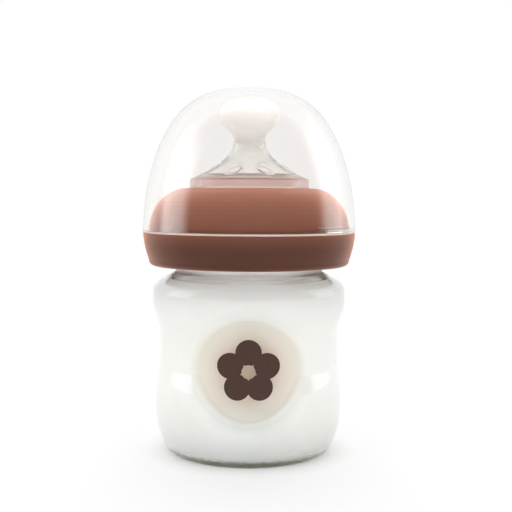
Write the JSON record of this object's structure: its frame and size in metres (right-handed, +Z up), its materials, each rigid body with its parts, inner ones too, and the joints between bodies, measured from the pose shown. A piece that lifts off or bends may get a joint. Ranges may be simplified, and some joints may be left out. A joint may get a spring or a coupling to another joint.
{
  "type": "baby bottle",
  "caption": "Short wide-neck glass baby bottle with a waisted body, round front dimple, screw ring, silicone teat and clear dome hood, filled with milk.",
  "frame": {"origin": "centre of the foot ring that the bottle stands on", "axes": "+Z up along the bottle's axis, with the round front dimple towards -Y and +X to its right"},
  "size_m": [0.071, 0.071, 0.1214],
  "materials": {
    "bottle_glass": "clear polished glass",
    "milk": "opaque liquid with a smooth surface",
    "print_ink": "thin fired ink, slightly satin",
    "teat_silicone": "translucent silicone, smooth",
    "ring_plastic": "satin moulded plastic",
    "hood_plastic": "clear polished plastic"
  },
  "bodies": {
    "bottle": {"glass_bottle": "bottle_glass", "milk_fill": "milk", "front_print": "print_ink", "volume_scale": "print_ink"},
    "teat": {"silicone_teat": "teat_silicone"},
    "ring": {"screw_ring": "ring_plastic"},
    "hood": {"clear_hood": "hood_plastic"}
  },
  "joints": [
    {"name": "ring_rise", "type": "slide", "parent": "bottle", "child": "teat", "axis": [0, 0, 1], "range_m": [0, 0.0201]},
    {"name": "ring_turn", "type": "hinge", "parent": "teat", "child": "ring", "pos_m": [0, 0, 0.0736], "axis": [0, 0, 1], "range_deg": [0, 900]},
    {"name": "hood_lift", "type": "slide", "parent": "ring", "child": "hood", "axis": [0, 0, 1], "range_m": [0, 0.052]}
  ],
  "couplings": [
    {"joint": "ring_rise", "follows": "ring_turn", "m_per_rad": 0.0012732}
  ]
}
